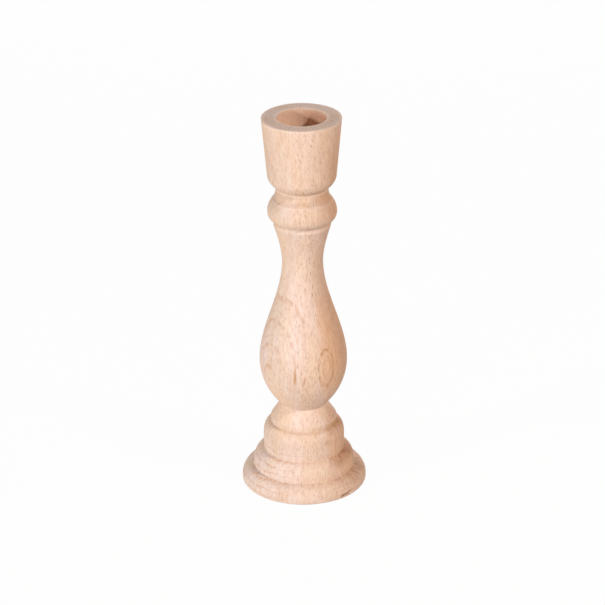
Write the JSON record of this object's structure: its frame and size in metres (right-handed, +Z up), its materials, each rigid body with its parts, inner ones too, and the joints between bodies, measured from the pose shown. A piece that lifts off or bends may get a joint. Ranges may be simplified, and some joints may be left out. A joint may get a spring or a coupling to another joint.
{
  "type": "candle holder",
  "caption": "Turned beech candle holder: stepped round base, baluster stem with a bead collar and a tapering cup with a blind socket for a dinner candle.",
  "frame": {"origin": "centre of the base's underside, on the table", "axes": "+Z up along the lathe axis to the candle; -Y towards the viewer of the picture; +X to the viewer's right"},
  "size_m": [0.056, 0.056, 0.175],
  "materials": {
    "turned_beech": "bare steamed beech, sanded on the lathe, unvarnished",
    "dowel_beech": "bare milled beech with pressed glue flutes"
  },
  "bodies": {
    "root": {"base": "turned_beech", "stem": "turned_beech", "candle_cup": "turned_beech", "lower_dowel": "dowel_beech", "upper_dowel": "dowel_beech"}
  },
  "joints": []
}
